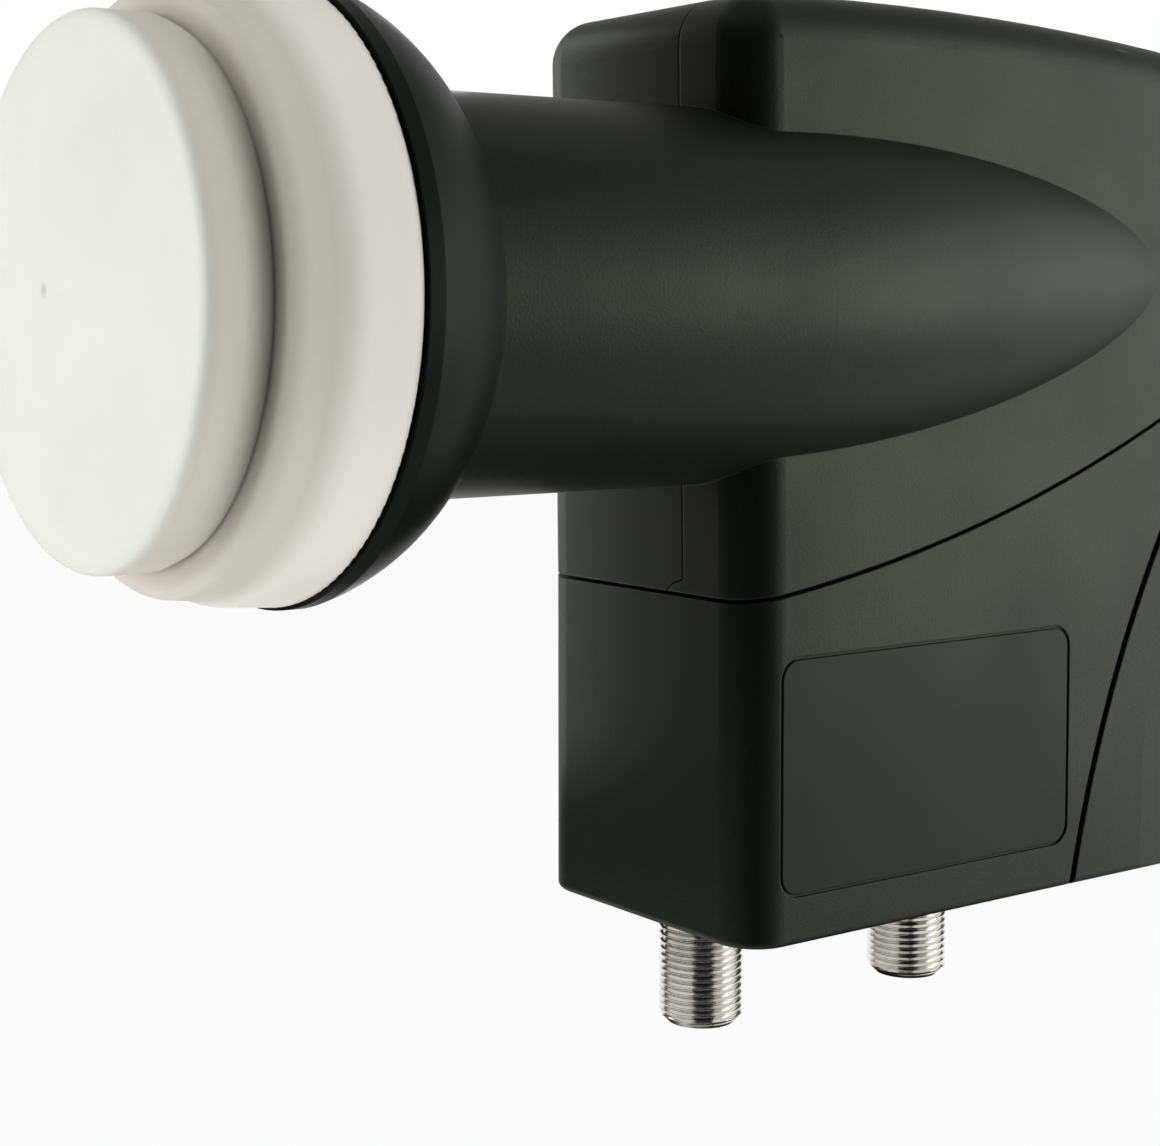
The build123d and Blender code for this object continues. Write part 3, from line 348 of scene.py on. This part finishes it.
# Threaded connector barrels, 3/8-32. The thread is a true helix: each column of points sits a
# little higher than the one before, and the last column joins the first one turn on.
PITCH, CREST, THREAD_DEPTH, RUNOUT = 0.000794, 0.0047, 0.00047, 0.0005
TIP_Z, THREAD_TOP_Z, CHAMFER = -0.0822, -0.0668, 0.0009
ROOT = CREST - THREAD_DEPTH
TIP_R = CREST - CHAMFER
TOOTH = (0.0, 0.0, 0.5, 1.0, 1.0, 0.5)
COLUMNS = 64
BORE_R, BORE_EDGE, BORE_TOP_Z, EYE_R = 0.0034, 0.0002, -0.0585, 0.00195
HEAD_R, HEAD_Z, SHANK_R = 0.0042, -0.0565, 0.0044
FLANGE_R, FLANGE_TOP_Z, FLANGE_Z = 0.0057, -0.0600, -0.0634


def thread_radius(tooth, z):
    runout = min(1.0, (THREAD_TOP_Z - z) / RUNOUT)
    return max(ROOT, min(ROOT + THREAD_DEPTH * tooth * runout, TIP_R + z - TIP_Z))


def barrel(bm, cx, cy):
    m, n = len(TOOTH), COLUMNS
    low = TIP_Z + ROOT - TIP_R
    turns = (THREAD_TOP_Z - low) / PITCH
    last = m * (math.ceil(turns) + 2)
    spot = [(math.cos(2 * math.pi * i / n), math.sin(2 * math.pi * i / n)) for i in range(n)]
    grid = []
    for i, (c, d) in enumerate(spot):
        column = []
        for k in range(last + 1):
            z = low + PITCH * min(max(k / m + i / n - 1, 0), turns)
            r = thread_radius(TOOTH[k % m], z) if low < z < THREAD_TOP_Z else ROOT
            column.append(bm.verts.new((cx + r * c, cy + r * d, z)))
        grid.append(column)
    for i in range(n):
        step = m if i == n - 1 else 0
        other = grid[(i + 1) % n]
        for k in range(last - step):
            bm.faces.new((grid[i][k], other[k + step], other[k + step + 1], grid[i][k + 1]))
    profile = (
        (ROOT, low), (TIP_R, TIP_Z), (BORE_R + BORE_EDGE, TIP_Z), (BORE_R, TIP_Z + BORE_EDGE),
        (BORE_R, BORE_TOP_Z), (EYE_R, BORE_TOP_Z), (EYE_R, HEAD_Z), (HEAD_R, HEAD_Z),
        (HEAD_R, FLANGE_TOP_Z), (FLANGE_R, FLANGE_TOP_Z), (FLANGE_R, FLANGE_Z),
        (SHANK_R, FLANGE_Z), (SHANK_R, THREAD_TOP_Z), (ROOT, THREAD_TOP_Z))
    bridge(bm, [[bm.verts.new((cx + r * c, cy + r * d, z)) for c, d in spot] for r, z in profile])
    bmesh.ops.remove_doubles(bm, verts=bm.verts[:], dist=1e-7)


lo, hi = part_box("connector_bodies")
bm = bmesh.new()
axis_x = (lo.x + hi.x) / 2
for axis_y in (lo.y + FLANGE_R, hi.y - FLANGE_R):
    barrel(bm, axis_x, axis_y)
threads = piece("connector_threads", bm, nickel, "lnb_body")
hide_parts("connector_bodies")


# Bare label plate in its recess on the shield
def rounded(w, h, r, steps=10):
    pts = []
    for cx, cy, a0 in ((w - r, h - r, 0), (r, h - r, 90), (r, r, 180), (w - r, r, 270)):
        for k in range(steps + 1):
            a = math.radians(a0 + 90 * k / steps)
            pts.append((cx + r * math.cos(a), cy + r * math.sin(a)))
    return pts


LABEL_Y, LABEL_Z, LABEL_W, LABEL_H, LABEL_R = 0.0234, -0.0636, 0.0449, 0.0257, 0.0025
GAP, RECESS, EDGE, SINK = 0.0003, 0.0003, 0.00008, 0.00003
side_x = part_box("weather_shield")[1].x
bm = bmesh.new()
rims = []
for inset, depth in ((GAP, RECESS), (GAP, EDGE + SINK), (GAP + EDGE, SINK)):
    pts = rounded(LABEL_W - 2 * inset, LABEL_H - 2 * inset, LABEL_R - inset)
    rims.append([bm.verts.new((side_x - depth, LABEL_Y + inset + u, LABEL_Z + inset + v))
                 for u, v in pts])
bridge(bm, rims)
bm.faces.new(rims[-1])
bm.faces.new(rims[0][::-1])
piece("label_plate", bm, label_grey, "shield")


# Studio: a white surround that is duller overhead, a pale floor, a dark flag, soft lamps
def seen_white(tree):
    """1 for camera, glossy and transmission rays, 0 for the rest."""
    path = node(tree, "ShaderNodeLightPath")
    shiny = node(tree, "ShaderNodeMath", operation="MAXIMUM")
    tree.links.new(path.outputs["Is Glossy Ray"], shiny.inputs[0])
    tree.links.new(path.outputs["Is Transmission Ray"], shiny.inputs[1])
    seen = node(tree, "ShaderNodeMath", operation="MAXIMUM")
    tree.links.new(path.outputs["Is Camera Ray"], seen.inputs[0])
    tree.links.new(shiny.outputs[0], seen.inputs[1])
    return seen.outputs[0]


FILL_LEVEL, OVERHEAD_LEVEL = 0.45, 0.4
world = bpy.data.worlds.new("studio")
scene.world = world
world.use_nodes = True
wt = world.node_tree
sky = wt.nodes["Background"]
sky.inputs["Color"].default_value = (1, 1, 1, 1)
toward = node(wt, "ShaderNodeSeparateXYZ")
wt.links.new(node(wt, "ShaderNodeTexCoord").outputs["Generated"], toward.inputs[0])
overhead = node(wt, "ShaderNodeMapRange",
                {"From Min": 0.25, "From Max": 0.7, "To Min": 1.0, "To Max": OVERHEAD_LEVEL},
                interpolation_type="SMOOTHSTEP")
wt.links.new(toward.outputs["Z"], overhead.inputs["Value"])
level = node(wt, "ShaderNodeMapRange", {"To Min": FILL_LEVEL})
wt.links.new(seen_white(wt), level.inputs["Value"])
wt.links.new(overhead.outputs["Result"], level.inputs["To Max"])
wt.links.new(level.outputs["Result"], sky.inputs["Strength"])

# The floor is mostly white to the camera and in reflections, and keeps a share of real shade
FLOOR_Z, FLOOR_SIZE, FLOOR_GLOW = -0.16, 4, 0.92
floor_white = bpy.data.materials.new("floor_white")
floor_white.use_nodes = True
ft = floor_white.node_tree
ft.nodes.remove(ft.nodes["Principled BSDF"])
paint = node(ft, "ShaderNodeBsdfDiffuse", {"Color": (0.9, 0.9, 0.9, 1)})
glow = node(ft, "ShaderNodeEmission")
share = node(ft, "ShaderNodeMath", {1: FLOOR_GLOW}, operation="MULTIPLY")
ft.links.new(seen_white(ft), share.inputs[0])
blend = node(ft, "ShaderNodeMixShader")
ft.links.new(share.outputs[0], blend.inputs[0])
ft.links.new(paint.outputs[0], blend.inputs[1])
ft.links.new(glow.outputs[0], blend.inputs[2])
ft.links.new(blend.outputs[0], ft.nodes["Material Output"].inputs["Surface"])
bm = bmesh.new()
bmesh.ops.create_grid(bm, x_segments=8, y_segments=8, size=FLOOR_SIZE)
for v in bm.verts:
    v.co.z = FLOOR_Z
mesh_object("floor", bm, floor_white)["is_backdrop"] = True

# The flag shows only in reflections: a wall with a skirt on the camera's side, and patches on the
# floor for the dark stripe in the connectors and the dark underside of the neck. Each sector has its
# first and last angle and its rails, each a radius and a height.
flag_black = bpy.data.materials.new("flag_black")
flag_black.use_nodes = True
felt = flag_black.node_tree.nodes["Principled BSDF"]
felt.inputs["Base Color"].default_value = (0.01, 0.01, 0.01, 1)
felt.inputs["Roughness"].default_value = 1.0
felt.inputs["Specular IOR Level"].default_value = 0.0
FLAG_Y, FLAG_STEPS, SKIRT_Z, FLAG_TOP_Z = 0.03, 26, FLOOR_Z + 0.001, 0.45
WALL = (-178, 28, ((0.28, SKIRT_Z), (0.6, SKIRT_Z), (0.6, FLAG_TOP_Z)))
STRIPE = (-67, 3, ((0.06, SKIRT_Z), (0.28, SKIRT_Z)))
NECK_INNER = (35, 175, ((0.02, SKIRT_Z), (0.095, SKIRT_Z)))
NECK_OUTER = (72, 175, ((0.095, SKIRT_Z), (0.17, SKIRT_Z)))
bm = bmesh.new()
for first, last, rails in (WALL, STRIPE, NECK_INNER, NECK_OUTER):
    rows = []
    for radius, z in rails:
        row = []
        for k in range(FLAG_STEPS + 1):
            a = math.radians(first + (last - first) * k / FLAG_STEPS)
            row.append(bm.verts.new((radius * math.cos(a), FLAG_Y + radius * math.sin(a), z)))
        rows.append(row)
    for low, high in zip(rows, rows[1:]):
        for k in range(FLAG_STEPS):
            bm.faces.new((low[k], low[k + 1], high[k + 1], high[k]))
flag = mesh_object("flag", bm, flag_black)
flag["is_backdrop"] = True
flag.visible_camera = False
flag.visible_shadow = False
flag.visible_diffuse = False


def lamp(name, place, size, watts, aim, shiny=True):
    """A soft rectangular lamp. One that isn't shiny lights matt surfaces and shows in no reflection."""
    d = bpy.data.lights.new(name, "AREA")
    d.shape = "RECTANGLE"
    d.size, d.size_y = size
    d.energy = watts
    o = bpy.data.objects.new(name, d)
    scene.collection.objects.link(o)
    o.location = place
    o.rotation_euler = (Vector(aim) - o.location).to_track_quat("-Z", "Y").to_euler()
    o.visible_camera = False
    o.visible_glossy = shiny


MIDDLE, FRONT = (0, 0.03, -0.02), (-0.01, 0.019, -0.009)
CAP, SHIELD = (0.01, -0.035, 0), (0, 0.05, -0.06)
lamp("key", (-0.2534, -0.5135, 0.001), (0.4, 0.28), 1.98, MIDDLE, shiny=False)
lamp("right", (0.5643, 0.5943, 0.005), (0.3, 0.5), 2.0, MIDDLE)
lamp("back", (0.3348, 0.748, 0.0913), (0.45, 0.6), 1.1, MIDDLE)
lamp("low", (0.42, 0.5, -0.125), (0.3, 0.05), 0.19, SHIELD)
lamp("strip", (-0.038, 0.0115, -0.0065), (0.008, 0.106), 0.0098, FRONT)
lamp("over", (0.05, -0.03, 0.3), (0.3, 0.12), 0.2, CAP, shiny=False)
lamp("under", (0.05, -0.03, -0.155), (0.12, 0.12), 0.055, CAP, shiny=False)

lo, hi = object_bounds()
